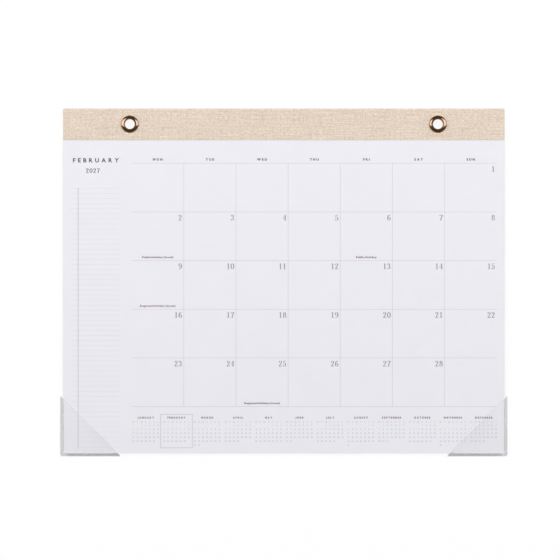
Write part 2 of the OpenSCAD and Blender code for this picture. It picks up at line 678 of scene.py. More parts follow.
@dataclass(frozen=True)
class FilmFinish(Finish):
    """Clear soft vinyl, see-through over the page and greyer where it climbs and is welded, a grey that is
    partly the seam's own haze and partly painted shade for the climbing film.

    Along its cut lip it is painted pale, with a faint glow: a painted highlight.
    """

    clear: Colour = linear(168, 168, 174)
    # The wall colour and the wall cover grey the climbing film: partly the welded seam's own haze, partly
    # painted shade in place of its refraction and shading.
    wall: Colour = linear(178, 178, 177)
    # The lip colour, the lip cover, the lip glow and the spread paint a pale highlight with a faint glow
    # along the cut edge.
    lip: Colour = linear(252, 252, 254)
    clear_cover: float = 0.024
    wall_cover: float = 0.42
    lip_cover: float = 0.12
    lip_glow: float = 0.06
    lip_spread: float = 4.0
    haze: Pair = (0.3, 0.9)
    marks_per_metre: float = 90.0
    roughness: Pair = (0.12, 0.3)
    ior: float = 1.5

    def build(self) -> bpy.types.Material:
        """Makes the material.

        Returns:
            The material.
        """
        made, nodes, shader = self.start()
        place = self.own_place(nodes, self.marks_per_metre)
        marks = nodes.place(Patterns.handling(), {"Vector": place}).outputs["Marks"]
        wall, lip, fold = (nodes.mask(name) for name in ("wall", "lip", "fold"))
        # The wall mask paints the climbing film greyer, partly as painted shade.
        colour = nodes.between(wall, self.clear, self.wall)
        # Painted highlight: the film turns pale towards its cut lip.
        colour = nodes.between(nodes.math("MULTIPLY", lip, self.lip_spread), colour, self.lip)
        low, high = self.haze
        haze = nodes.ranged(marks, low * self.clear_cover, high * self.clear_cover)
        # Painted shade: the fold mask thickens the film's grey haze in a band behind the lip.
        haze = nodes.math("ADD", haze, nodes.math("MULTIPLY", fold, self.clear_cover))
        cover = nodes.ranged(wall, haze, self.wall_cover)
        cover = nodes.ranged(lip, cover, self.lip_cover)
        # The lip's glow is painted light: the film gives off a little light along its cut edge.
        painted_glow = (self.lip_glow, self.lip_glow, self.lip_glow, 1)
        nodes.fill(shader, {
            "Base Color": colour,
            "Roughness": nodes.ranged(marks, *self.roughness),
            "Alpha": cover,
            "IOR": self.ior,
            "Emission Color": nodes.between(lip, BLACK, painted_glow),
            "Emission Strength": 1.0,
        })
        return made


PAPER = FibreFinish("white_paper", linear(241, 240, 245), linear(234, 233, 238), 900.0, 0.012 * MM)
CHIPBOARD = FibreFinish("grey_chipboard", linear(186, 172, 150), linear(128, 114, 94), 420.0, 0.05 * MM)
LINEN = LinenFinish("natural_linen")
BRASS = BrassFinish("polished_brass")
GLUE = GlueFinish("dried_glue")
FILM = FilmFinish("clear_vinyl")


@dataclass
class Print:
    """Ink shapes gathered on one page.

    Their points give X from the pad's left edge, Y up from the header's top, and the ink's layer.
    """

    points: list[Array] = field(default_factory=list)
    triangles: list[Array] = field(default_factory=list)
    inks: list[Array] = field(default_factory=list)
    count: int = 0

    def add(self, points: Array, triangles: Array, inks: Array) -> None:
        """Adds a shape.

        Args:
            points: its places on the page, with their layers.
            triangles: its faces.
            inks: the ink of each face.
        """
        self.points.append(points)
        self.triangles.append(triangles + self.count)
        self.inks.append(inks)
        self.count += len(points)

    def bar(self, ink: Ink, start: Pair, end: Pair, layer: int = 0) -> None:
        """Adds a bar.

        Args:
            ink: its ink.
            start: its lower left corner.
            end: its upper right corner.
            layer: the layer of ink that it lies in.
        """
        (left, low), (right, high) = start, end
        corners = [(left, low, layer), (right, low, layer), (right, high, layer), (left, high, layer)]
        self.add(np.array(corners), np.array([(0, 1, 2), (0, 2, 3)]), np.full(2, ink.place))

    def join(self, other: "Print") -> None:
        """Adds everything on another page."""
        self.add(np.concatenate(other.points), np.concatenate(other.triangles), np.concatenate(other.inks))


@dataclass(frozen=True)
class Glyph:
    """A letter or a line of letters as flat triangles, on a baseline at 0.

    Its points give X, Y and the ink's layer.
    """

    points: Array
    triangles: Array
    advance: float

    def scaled(self, cap: float, shift: float) -> "Glyph":
        """The glyph shifted along its line and then brought to a cap height."""
        return Glyph((self.points + (shift, 0, 0)) * (cap, cap, 1), self.triangles, cap * self.advance)


def joined(parts: list[Glyph], advance: float) -> Glyph:
    """One glyph from several parts.

    Args:
        parts: the parts, each in its place.
        advance: the width that the glyph takes on a line.

    Returns:
        The joined glyph.
    """
    starts = np.cumsum([0] + [len(part.points) for part in parts[:-1]])
    triangles = [part.triangles + start for part, start in zip(parts, starts)]
    return Glyph(np.concatenate([part.points for part in parts]), np.concatenate(triangles), advance)


@dataclass
class SansFace:
    """Plain sans letters, cut from Blender's own font.

    The weight is what an outline grows by, and short is the length under which an edge is welded, both in the
    font's own units. Blunt and notch hold back the growth at outer and inner corners.
    """

    weight: float
    steps: int
    stretch: float = 1.22
    space: float = 0.35
    short: float = 0.004
    blunt: float = 1.0
    notch: float = 0.3
    glyphs: dict[str, Glyph] = field(default_factory=dict)

    def cut(self, letter: str) -> tuple[Array, Array]:
        """Fills a letter's outline.

        Args:
            letter: the letter.

        Returns:
            Its points and its triangles, facing up.
        """
        curve = bpy.data.curves.new("letter", "FONT")
        curve.body = letter
        curve.resolution_u = self.steps
        carrier = bpy.data.objects.new("letter", curve)
        mesh = bpy.data.meshes.new_from_object(carrier)
        mesh.calc_loop_triangles()
        points = np.empty(len(mesh.vertices) * 3, np.float32)
        mesh.vertices.foreach_get("co", points)
        triangles = np.empty(len(mesh.loop_triangles) * 3, np.int32)
        mesh.loop_triangles.foreach_get("vertices", triangles)
        bpy.data.objects.remove(carrier)
        bpy.data.curves.remove(curve)
        bpy.data.meshes.remove(mesh)
        points, triangles = points.reshape(-1, 3)[:, :2], triangles.reshape(-1, 3)
        start, middle, end = (points[triangles[:, corner]] for corner in range(3))
        first, second = middle - start, end - start
        turned = first[:, 0] * second[:, 1] < first[:, 1] * second[:, 0]
        triangles[turned] = triangles[turned][:, ::-1]
        triangles = self.welded(points, triangles)
        return self.thickened(points, triangles), triangles

    @staticmethod
    def rim(triangles: Array) -> Array:
        """The edges of a letter's outline, which only one triangle has, with the letter on their left.

        Args:
            triangles: the letter's triangles, facing up.

        Returns:
            The first and the last point of each edge, in two rows.
        """
        edges = triangles[:, [0, 1, 1, 2, 2, 0]].reshape(-1, 2)
        count = edges.max() + 1
        forwards, backwards = edges @ (count, 1), edges @ (1, count)
        return edges[~np.isin(forwards, backwards)].T

    def welded(self, points: Array, triangles: Array) -> Array:
        """Joins the ends of edges that are too short to be moved.

        Args:
            points: the points of a letter.
            triangles: its triangles.

        Returns:
            The triangles that are left.
        """
        start, end = self.rim(triangles)
        short = np.linalg.norm(points[end] - points[start], axis=1) < self.short
        number = np.arange(len(points))
        number[end[short]] = start[short]
        triangles = number[triangles]
        return triangles[(triangles != np.roll(triangles, 1, axis=1)).all(axis=1)]

    def thickened(self, points: Array, triangles: Array) -> Array:
        """Moves an outline outwards by the weight.

        A point moves along the sum of the normals of its two edges, by twice the weight times that sum over
        its square, which keeps the edges parallel. The move is held back at sharp corners.

        Args:
            points: the points of a letter, all on its outline.
            triangles: its triangles, facing up.

        Returns:
            The moved points.
        """
        start, end = self.rim(triangles)
        run = points[end] - points[start]
        run = run / np.linalg.norm(run, axis=1, keepdims=True)
        before, after = np.zeros(points.shape), np.zeros(points.shape)
        before[end], after[start] = run, run
        lean = (before + after)[:, ::-1] * (1, -1)
        outer = before[:, 0] * after[:, 1] > before[:, 1] * after[:, 0]
        square = np.maximum((lean**2).sum(axis=1), np.where(outer, self.blunt, self.notch))
        return points + 2 * self.weight * lean / square[:, None]

    def glyph(self, letter: str) -> Glyph:
        """A letter with a cap height of 1 and its left edge at 0.

        Args:
            letter: the letter.

        Returns:
            The letter, which is cut once.
        """
        if letter not in self.glyphs:
            cap = np.ptp(self.cut("H")[0][:, 1])
            points, triangles = self.cut(letter)
            across = (points[:, 0] - points[:, 0].min()) * self.stretch / cap
            place = np.column_stack([across, points[:, 1] / cap, 0 * across])
            self.glyphs[letter] = Glyph(place, triangles, float(across.max()))
        return self.glyphs[letter]

    def set_line(self, text: str, cap: float, gap: float) -> Glyph:
        """Sets a line of letters with an even gap between them.

        Args:
            text: the line.
            cap: the cap height.
            gap: the gap, as a share of the cap height.

        Returns:
            The line with its left end and its baseline at 0.
        """
        parts, reach = [], 0.0
        for letter in text:
            if letter == " ":
                reach += self.space
                continue
            glyph = self.glyph(letter)
            parts.append(glyph.scaled(cap, reach))
            reach += glyph.advance + gap
        return joined(parts, cap * (reach - gap))


@dataclass
class SerifFace:
    """Upright serif figures with strong contrast, drawn as pen strokes on smooth paths.

    Widths and places are shares of a figure's height.
    """

    thick: float = 0.15
    hair: float = 0.04
    bar: float = 0.09
    ball: float = 0.06
    stretch: float = 1.1
    advance: float = 0.72
    steps: int = 4
    ring_steps: int = 17
    ball_points: int = 10
    turned_width: float = 0.6
    glyphs: dict[str, Glyph] = field(default_factory=dict)

    def smooth(self, *knots: Pair) -> Array:
        """A curve through knots.

        Each span is a cubic whose slope at a knot follows the line between the knot's neighbours.

        Args:
            *knots: the points that it passes through.

        Returns:
            Points along the curve.
        """
        knot = np.array(knots, float)
        ends = np.vstack([2 * knot[0] - knot[1], knot, 2 * knot[-1] - knot[-2]])
        share = np.linspace(0, 1, self.steps, endpoint=False)[None, :, None]
        before, start, end, after = (ends[i : len(ends) - 3 + i, None, :] for i in range(4))
        span = 2 * start + (end - before) * share
        span = span + (2 * before - 5 * start + 4 * end - after) * share**2
        span = span + (3 * start - before - 3 * end + after) * share**3
        return np.vstack([span.reshape(-1, 2) / 2, knot[-1:]])

    def flat(self, points: Array, triangles: Array) -> Glyph:
        """One stroke of a figure, in the lowest layer."""
        return Glyph(np.column_stack([points, np.zeros(len(points))]), triangles, self.advance)

    def stroke(self, path: Array, thick: float, thin: float) -> Glyph:
        """Widens a path: thin where it runs level and thick where it stands upright.

        The width goes from one to the other with the square of the sine of the path's slope.

        Args:
            path: points along the stroke.
            thick: the width of an upright stretch.
            thin: the width of a level stretch.

        Returns:
            The stroke.
        """
        run = np.gradient(path, axis=0)
        run = run / np.linalg.norm(run, axis=1, keepdims=True)
        half = 0.5 * (thin + (thick - thin) * run[:, 1:] ** 2)
        side = half * np.stack([-run[:, 1], run[:, 0]], axis=1)
        step, count = np.arange(len(path) - 1), len(path)
        first = np.stack([step, step + count, step + 1], axis=1)
        second = np.stack([step + 1, step + count, step + count + 1], axis=1)
        return self.flat(np.vstack([path + side, path - side]), np.vstack([first, second]))

    def pen(self, *knots: Pair) -> Glyph:
        """A stroke of changing width through knots."""
        return self.stroke(self.smooth(*knots), self.thick, self.hair)

    def line(self, width: float, *ends: Pair) -> Glyph:
        """A straight stroke of one width."""
        return self.stroke(np.array(ends, float), width, width)

    def ring(self, centre: Pair, radii: Pair) -> Glyph:
        """A closed oval of changing width."""
        return self.stroke(arc(centre, radii, 0, 360, self.ring_steps), self.thick, self.hair)

    def drop(self, x: float, y: float) -> Glyph:
        """A round ball at a stroke's end.

        Args:
            x: its middle across the figure.
            y: its middle up the figure.

        Returns:
            The ball, as a fan of triangles.
        """
        rim = arc((x, y), (self.ball, self.ball), 0, 360 - 360 / self.ball_points, self.ball_points)
        step = np.arange(len(rim) - 2)
        return self.flat(rim, np.stack([0 * step, step + 1, step + 2], axis=1))

    def parts(self, figure: str) -> list[Glyph]:
        """The strokes of a figure, with a height of 1 and a width of about 0.6.

        Args:
            figure: the figure.

        Returns:
            Its strokes.
        """
        match figure:
            case "0":
                return [self.ring((0.30, 0.50), (0.215, 0.475))]
            case "1":
                flag = self.line(1.3 * self.hair, (0.12, 0.87), (0.30, 0.955))
                foot = self.line(self.hair, (0.12, 0.02), (0.48, 0.02))
                return [self.line(self.thick, (0.30, 0.0), (0.30, 0.99)), flag, foot]
            case "2":
                crown = ((0.12, 0.72), (0.15, 0.90), (0.29, 0.975), (0.43, 0.86), (0.44, 0.68))
                sweep = self.pen(*crown, (0.28, 0.38), (0.09, 0.07))
                foot = self.line(self.bar, (0.07, 0.05), (0.50, 0.05))
                spur = self.line(self.hair, (0.50, 0.03), (0.53, 0.24))
                return [sweep, foot, spur, self.drop(0.15, 0.74)]
            case "3":
                upper = ((0.13, 0.80), (0.17, 0.92), (0.29, 0.975), (0.42, 0.86), (0.41, 0.66), (0.25, 0.535))
                bowl = ((0.25, 0.535), (0.44, 0.44), (0.47, 0.24), (0.35, 0.06), (0.24, 0.025))
                lower = self.pen(*bowl, (0.12, 0.10), (0.10, 0.20))
                return [self.pen(*upper), lower, self.drop(0.15, 0.79), self.drop(0.13, 0.20)]
            case "4":
                stem = self.line(self.thick, (0.40, 0.0), (0.40, 0.98))
                slope = self.line(self.hair, (0.42, 0.97), (0.03, 0.29))
                bar = self.line(self.hair, (0.03, 0.28), (0.57, 0.28))
                return [stem, slope, bar, self.line(self.hair, (0.26, 0.02), (0.54, 0.02))]
            case "5":
                shoulder = ((0.12, 0.50), (0.20, 0.59), (0.32, 0.61), (0.46, 0.42), (0.45, 0.20))
                bowl = self.pen(*shoulder, (0.33, 0.045), (0.22, 0.025))
                tail = self.pen((0.22, 0.025), (0.12, 0.10), (0.10, 0.20))
                top = self.line(self.bar, (0.13, 0.93), (0.47, 0.93))
                stem = self.line(self.hair, (0.14, 0.95), (0.12, 0.50))
                return [bowl, tail, top, stem, self.drop(0.13, 0.19)]
            case "6":
                limb = ((0.45, 0.90), (0.36, 0.965), (0.20, 0.82), (0.11, 0.52), (0.12, 0.28))
                return [self.pen(*limb), self.ring((0.31, 0.295), (0.19, 0.275)), self.drop(0.43, 0.87)]
            case "7":
                leg = ((0.53, 0.92), (0.37, 0.60), (0.28, 0.28), (0.27, 0.0))
                top = self.line(self.bar, (0.06, 0.93), (0.54, 0.93))
                return [self.pen(*leg), top, self.line(self.hair, (0.06, 0.96), (0.06, 0.74))]
            case "8":
                return [self.ring((0.30, 0.745), (0.155, 0.23)), self.ring((0.30, 0.265), (0.20, 0.245))]
            case _:
                far = (self.turned_width, 1.0)
                return [self.flat(far - part.points[:, :2], part.triangles) for part in self.parts("6")]

    def glyph(self, figure: str) -> Glyph:
        """A figure with a height of 1, each stroke in a layer of its own.

        Args:
            figure: the figure.

        Returns:
            The figure, which is drawn once.
        """
        if figure not in self.glyphs:
            layers = [
                Glyph(part.points * (self.stretch, 1, 1) + (0, 0, layer), part.triangles, part.advance)
                for layer, part in enumerate(self.parts(figure))
            ]
            self.glyphs[figure] = joined(layers, self.advance)
        return self.glyphs[figure]

    def set_line(self, text: str, cap: float, gap: float = 0.0) -> Glyph:
        """Sets a number in figures of one width.

        Args:
            text: the number.
            cap: the height of the figures.
            gap: room added between figures, as a share of their height.

        Returns:
            The number with its left end and its baseline at 0.
        """
        step = self.advance + gap
        parts = [self.glyph(figure).scaled(cap, place * step) for place, figure in enumerate(text)]
        return joined(parts, cap * (len(text) * step - gap))


@dataclass(frozen=True)
class PageLayout:
    """Places on a printed page, from the pad's left edge and down from the header's top."""

    column: float = 65.28 * MM
    row: float = 60.9 * MM
    rows: int = 5
    grid_left: float = 85.75 * MM
    grid_top: float = 68.65 * MM
    rule_inset: float = 0.35 * MM
    rule: float = 0.25 * MM
    upright_rule: float = 0.26 * MM
    label_cap: float = 2.9 * MM
    label_gap: float = 0.47
    label_baseline: float = 65.2 * MM
    title_middle: float = 41.0 * MM
    title_cap: float = 5.4 * MM
    title_gap: float = 0.59
    title_baseline: float = 67.4 * MM
    year_middle: float = 37.4 * MM
    year_height: float = 5.7 * MM
    year_gap: float = 0.08
    year_baseline: float = 80.7 * MM
    note_left: float = 10.8 * MM
    note_right: float = 70.9 * MM
    note_top: float = 100.1 * MM
    note_pitch: float = 6.35 * MM
    note_lines: int = 52
    note_rule: float = 0.2 * MM
    margin: float = 18.8 * MM
    margin_rule: float = 0.5 * MM
    margin_over: float = 0.9 * MM
    number_height: float = 7.1 * MM
    number_inset: float = 1.7 * MM
    number_drop: float = 3.6 * MM
    event_cap: float = 2.2 * MM
    event_gap: float = 0.2
    event_rise: float = 3.3 * MM
    mini_first: float = 103.4 * MM
    mini_pitch: float = 38.46 * MM
    mini_name_cap: float = 2.45 * MM
    mini_name_gap: float = 0.5
    mini_name_baseline: float = 388.0 * MM
    mini_week_baseline: float = 393.4 * MM
    mini_first_baseline: float = 397.4 * MM
    mini_row: float = 4.95 * MM
    mini_column: float = 5.15 * MM
    mini_cap: float = 1.75 * MM
    mini_gap: float = 0.12
    box_width: float = 39.6 * MM
    box_top: float = 382.8 * MM
    box_bottom: float = 424.7 * MM
    box_rule: float = 0.4 * MM

    @property
    def grid_right(self) -> float:
        """The right end of the grid."""
        return self.grid_left + len(WEEK) * self.column

    def column_middle(self, column: int) -> float:
        """The middle of one of the grid's columns."""
        return self.grid_left + (column + 0.5) * self.column

    def mini_middle(self, month: Month) -> float:
        """The middle of one of the small months."""
        return self.mini_first + month.place * self.mini_pitch


@dataclass
class Press:
    """Prints the pages of the calendar, each face of type for its own kind of line."""

    EVENTS = (
        (0, 1, "Public Holiday (local)"),
        (4, 1, "Public Holiday"),
        (0, 2, "Regional Holiday (local)"),
        (2, 4, "Regional Holiday (local)"),
    )

    layout: PageLayout
    title_face: SansFace = field(default_factory=lambda: SansFace(weight=0.03, steps=3, stretch=1.02))
    label_face: SansFace = field(default_factory=lambda: SansFace(weight=0.046, steps=3, stretch=1.1))
    name_face: SansFace = field(default_factory=lambda: SansFace(weight=0.066, steps=3, stretch=0.85))
    event_face: SansFace = field(default_factory=lambda: SansFace(weight=0.058, steps=2))
    small_face: SansFace = field(default_factory=lambda: SansFace(weight=0.012, steps=1, stretch=1.1))
    figures: SerifFace = field(default_factory=SerifFace)
    shared: Print = field(default_factory=Print)

    def __post_init__(self) -> None:
        """Prints what every page shares."""
        self.rule_notes()
        self.rule_grid()
        for month in Month:
            self.small_month(month)

    @staticmethod
    def text(page: Print, ink: Ink, line: Glyph, anchor: Pair, align: Align = Align.CENTRE) -> None:
        """Puts a set line on a page.

        Args:
            page: the page.
            ink: the ink.
            line: the set line.
            anchor: a place across the page, and the line's baseline down from the header's top.
            align: which part of the line lies at the anchor.
        """
        place = (anchor[0] - align.value * line.advance, -anchor[1], 0)
        page.add(line.points + place, line.triangles, np.full(len(line.triangles), ink.place))

    def level_rule(self, ink: Ink, left: float, right: float, y: float, width: float) -> None:
        """Rules a level line on every page."""
        self.shared.bar(ink, (left, -y - width / 2), (right, -y + width / 2))

    def upright_rule(self, ink: Ink, x: float, top: float, bottom: float, width: float) -> None:
        """Rules an upright line on every page, over the level ones."""
        self.shared.bar(ink, (x - width / 2, -bottom), (x + width / 2, -top), layer=1)

    def rule_notes(self) -> None:
        """Rules the lines for notes and their margin."""
        at = self.layout
        depths = at.note_top + at.note_pitch * np.arange(at.note_lines)
        for depth in depths:
            self.level_rule(Ink.NOTE_RULE, at.note_left, at.note_right, depth, at.note_rule)
        top, bottom = depths[0] - at.margin_over, depths[-1] + at.margin_over
        self.upright_rule(Ink.MARGIN, at.margin, top, bottom, at.margin_rule)

    def rule_grid(self) -> None:
        """Rules the month's grid and prints the weekdays over it."""
        at = self.layout
        bottom = at.grid_top + at.rows * at.row
        for row in range(at.rows + 1):
            depth = at.grid_top + row * at.row
            self.level_rule(Ink.RULE, at.grid_left + at.rule_inset, at.grid_right, depth, at.rule)
        for column in range(1, len(WEEK)):
            x = at.grid_left + column * at.column
            self.upright_rule(Ink.RULE, x, at.grid_top, bottom, at.upright_rule)
        for column, day in enumerate(WEEK):
            line = self.label_face.set_line(day, at.label_cap, at.label_gap)
            self.text(self.shared, Ink.LABEL, line, (at.column_middle(column), at.label_baseline))

    def small_month(self, month: Month) -> None:
        """Prints one of the year's small months under the grid.

        Args:
            month: the month.
        """
        at = self.layout
        middle = at.mini_middle(month)
        left = middle - at.mini_column * (len(WEEK) - 1) / 2
        name = self.name_face.set_line(month.name, at.mini_name_cap, at.mini_name_gap)
        self.text(self.shared, Ink.PLUM, name, (middle, at.mini_name_baseline))
        for column, day in enumerate(WEEK):
            initial = self.small_face.set_line(day[0], at.mini_cap, at.mini_gap)
            anchor = (left + column * at.mini_column, at.mini_week_baseline)
            self.text(self.shared, Ink.SMALL, initial, anchor)
        for day in range(month.days):
            row, column = divmod(month.first_column + day, len(WEEK))
            number = self.small_face.set_line(str(day + 1), at.mini_cap, at.mini_gap)
            anchor = (left + column * at.mini_column, at.mini_first_baseline + row * at.mini_row)
            self.text(self.shared, Ink.SMALL, number, anchor)

    def title(self, page: Print, month: Month) -> None:
        """Prints the month's name, widely spaced, and the year under it.

        Args:
            page: the page.
            month: its month.
        """
        at = self.layout
        name = self.title_face.set_line(month.name, at.title_cap, at.title_gap)
        self.text(page, Ink.TITLE, name, (at.title_middle, at.title_baseline))
        year = self.figures.set_line(YEAR, at.year_height, at.year_gap)
        self.text(page, Ink.YEAR, year, (at.year_middle, at.year_baseline))

    def dates(self, page: Print, month: Month) -> None:
        """Prints the month's dates, where a sixth week shares the fifth row.

        Args:
            page: the page.
            month: its month.
        """
        at = self.layout
        for day in range(month.days):
            row, column = divmod(month.first_column + day, len(WEEK))
            shared = max(0, row - at.rows + 1)
            top = at.grid_top + (row - shared / 2) * at.row
            number = self.figures.set_line(str(day + 1), at.number_height)
            right = at.grid_left + (column + 1) * at.column - at.number_inset
            anchor = (right, top + at.number_drop + at.number_height)
            self.text(page, Ink.NUMERAL, number, anchor, Align.RIGHT)

    def events(self, page: Print) -> None:
        """Prints the words for the month's holidays at the foot of their days.

        Args:
            page: the page.
        """
        at = self.layout
        for column, row, words in self.EVENTS:
            line = self.event_face.set_line(words, at.event_cap, at.event_gap)
            depth = at.grid_top + (row + 1) * at.row - at.event_rise
            self.text(page, Ink.PLUM, line, (at.column_middle(column), depth))

    def box(self, page: Print, month: Month) -> None:
        """Rules a box round the small month of the page.

        Args:
            page: the page.
            month: its month.
        """
        at = self.layout
        middle = at.mini_middle(month)
        left, right, half = middle - at.box_width / 2, middle + at.box_width / 2, at.box_rule / 2
        for depth in (at.box_top, at.box_bottom):
            page.bar(Ink.RULE, (left - half, -depth - half), (right + half, -depth + half))
        for x in (left, right):
            page.bar(Ink.RULE, (x - half, half - at.box_bottom), (x + half, -half - at.box_top))

    def page(self, month: Month) -> Print:
        """Prints a month's page.

        Args:
            month: the month.

        Returns:
            The printed page.
        """
        page = Print()
        page.join(self.shared)
        self.title(page, month)
        self.dates(page, month)
        self.box(page, month)
        if month is Month.FEBRUARY:
            self.events(page)
        return page


@dataclass
class MonthLeaf:
    """One month's leaf: a flat sheet of paper, with its rows close together below the header, and its print.
    """

    month: Month
    press: Press
    pad_top: float
    bend: float = 3.0 * MM
    bend_rows: int = 14
    flat_rows: int = 12
    columns: int = 9
    paper_share: float = 0.85
    ink_rise: float = 0.006 * MM
    layer_rise: float = 0.0015 * MM
    stray: float = 0.18 * MM
    stray_steps: Pair = (7.3, 4.1)
    slit_cover: float = 0.15 * MM

    def paper(self) -> Surface:
        """A closed thin sheet: the rectangle of its section is carried down the leaf.

        Its rows lie close where it bends. Each leaf strays a little, by the sine of its month's place times
        a step for each axis.

        Returns:
            The sheet.
        """
        low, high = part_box("sheet_" + self.month.word)
        shift = self.stray * np.sin(np.array(self.stray_steps) * self.month.place)
        thickness = self.paper_share * (high.z - low.z)
        across = np.linspace(low.x, high.x, self.columns) + shift[0]
        flat = np.linspace(low.y + self.stray + shift[1], high.y - self.bend, self.flat_rows, endpoint=False)
        crease = high.y + self.slit_cover
        along = np.concatenate([flat, np.linspace(high.y - self.bend, crease, self.bend_rows)])
        ring_x = np.concatenate([across, across[::-1]])
        ring_z = np.repeat([low.z + thickness, low.z], self.columns)
        rows, ring = len(along), len(ring_x)
        place = [ring_x + 0 * along[:, None], along[:, None] + 0 * ring_x, ring_z + 0 * along[:, None]]
        points = np.stack(place, axis=-1).reshape(-1, 3)
        top = np.arange(self.columns - 1)
        under = ring - 1 - top
        near = np.stack([under, under - 1, top + 1, top], axis=1)
        far = near[:, ::-1] + (rows - 1) * ring
        return Surface(points, np.concatenate([quads(rows, ring, closed_columns=True), near, far]))

    def ink(self) -> Surface:
        """The page's print, laid just over the paper.

        Returns:
            The print.
        """
        low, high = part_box("sheet_" + self.month.word)
        page = self.press.page(self.month)
        height = low.z + self.paper_share * (high.z - low.z) + self.ink_rise
        points = np.concatenate(page.points) * (1, 1, self.layer_rise) + (low.x, self.pad_top, height)
        return Surface(points, np.concatenate(page.triangles), np.concatenate(page.inks))

    def build(self) -> None:
        """Makes the leaf and its print, and fixes the print to its month's body."""
        word = self.month.word
        leaf = self.paper().make("leaf_" + word, [PAPER.material()], smooth=False)
        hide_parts("sheet_" + word)
        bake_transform(leaf)
        inks = [InkFinish("ink_" + ink.name.lower(), linear(*ink.value)).material() for ink in Ink]
        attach(self.ink().make("print_" + word, inks, smooth=False), word)


@dataclass
class Header:
    """The linen header: one cut of cloth, folded over the bound edge, with holes for the eyelets."""

    column_step: float = 1.5 * MM
    front_rows: int = 28
    fold_rows: int = 12
    back_rows: int = 16
    hole: float = 7.4 * MM
    ridge: float = 0.1 * MM
    ridge_reach: float = 13.5 * MM
    ridge_width: float = 2.4 * MM
    stray: float = 0.06 * MM
    stray_reach: float = 1.5 * MM
    stray_waves: tuple[Triple, ...] = ((9.1 * MM, 1.0, 0.0), (3.7 * MM, 0.7, 1.0), (23.0 * MM, 0.5, 2.0))
    edge: float = 0.12 * MM
    front_depth: float = 0.01 * MM
    hole_steps: float = 1.2

    def section(self) -> tuple[Array, Array, Array]:
        """The cloth's outer line from the front edge over the fold to the back edge.

        Returns:
            Y and Z along the line, and the length of cloth up to each point.
        """
        low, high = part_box("header_band")
        fold = (high.z - low.z) / 2
        bend = arc((high.y - fold, low.z + fold), (fold, fold), 90, -90, self.fold_rows)
        run = np.linspace(low.y + self.edge, high.y - fold, self.front_rows, endpoint=False)
        run = np.concatenate([[low.y], run])
        back = np.linspace(high.y - fold, low.y + self.edge, self.back_rows + 1)[1:]
        back = np.concatenate([back, [low.y]])
        y = np.concatenate([run, bend[:, 0], back])
        z = np.concatenate([np.full(len(run), high.z), bend[:, 1], np.full(len(back), low.z)])
        return y, z, np.concatenate([[0], np.cumsum(np.hypot(np.diff(y), np.diff(z)))])

    def cloth(self, eyelets: list[Pair]) -> Surface:
        """The cloth: its section carried across the pad, with the cloth inside the eyelets' holes left out.

        Its front edge strays by a sum of sines of X, each with a length, a share and a phase, which dies away
        up the cloth. Round each eyelet it rises in a ridge, a bell curve of the distance from the axis.

        Args:
            eyelets: X and Y of the eyelets.

        Returns:
            The outer face of the cloth, with its flat cut as UV.
        """
        low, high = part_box("header_band")
        line_y, line_z, length = self.section()
        inner = np.linspace(low.x + self.edge, high.x - self.edge, round((high.x - low.x) / self.column_step))
        across = np.concatenate([[low.x], inner, [high.x]])
        x, y = np.meshgrid(across, line_y)
        z = np.repeat(line_z[:, None], len(across), axis=1)
        sway = sum(share * np.sin(x / wave + phase) for wave, share, phase in self.stray_waves)
        y = y + self.stray * sway * np.exp(-length / self.stray_reach)[:, None]
        front = (z > high.z - self.front_depth).astype(float)
        inside = np.zeros(x.shape, bool)
        for centre_x, centre_y in eyelets:
            away = np.hypot(x - centre_x, y - centre_y)
            within = away <= self.hole - self.hole_steps * self.column_step
            rim = (away < self.hole) & ~within
            inside |= within
            push = np.where(rim, self.hole / np.maximum(away, MM), 1.0)
            x, y = centre_x + (x - centre_x) * push, centre_y + (y - centre_y) * push
            z = z + front * self.ridge * np.exp(-(((away - self.ridge_reach) / self.ridge_width) ** 2))
        points = np.stack([x, y, z], axis=-1).reshape(-1, 3)
        faces = quads(*x.shape)
        faces = faces[~inside.ravel()[faces].any(axis=1)]
        uv = np.stack(np.meshgrid(across - low.x, length), axis=-1).reshape(-1, 2)
        used, numbers = np.unique(faces, return_inverse=True)
        return Surface(points[used], numbers.reshape(faces.shape), uv=uv[used])

    def build(self, eyelets: list[Pair]) -> None:
        """Makes the header and fixes it to the pad.

        Args:
            eyelets: X and Y of the eyelets.
        """
        low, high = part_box("header_band")
        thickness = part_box("padding_glue")[0].z - low.z
        cloth = self.cloth(eyelets).make("linen_header", [LINEN.material()])
        wall = cloth.modifiers.new("cloth", "SOLIDIFY")
        wall.thickness = thickness
        wall.offset = -1
        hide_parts("header_band")
        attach(cloth, "pad")


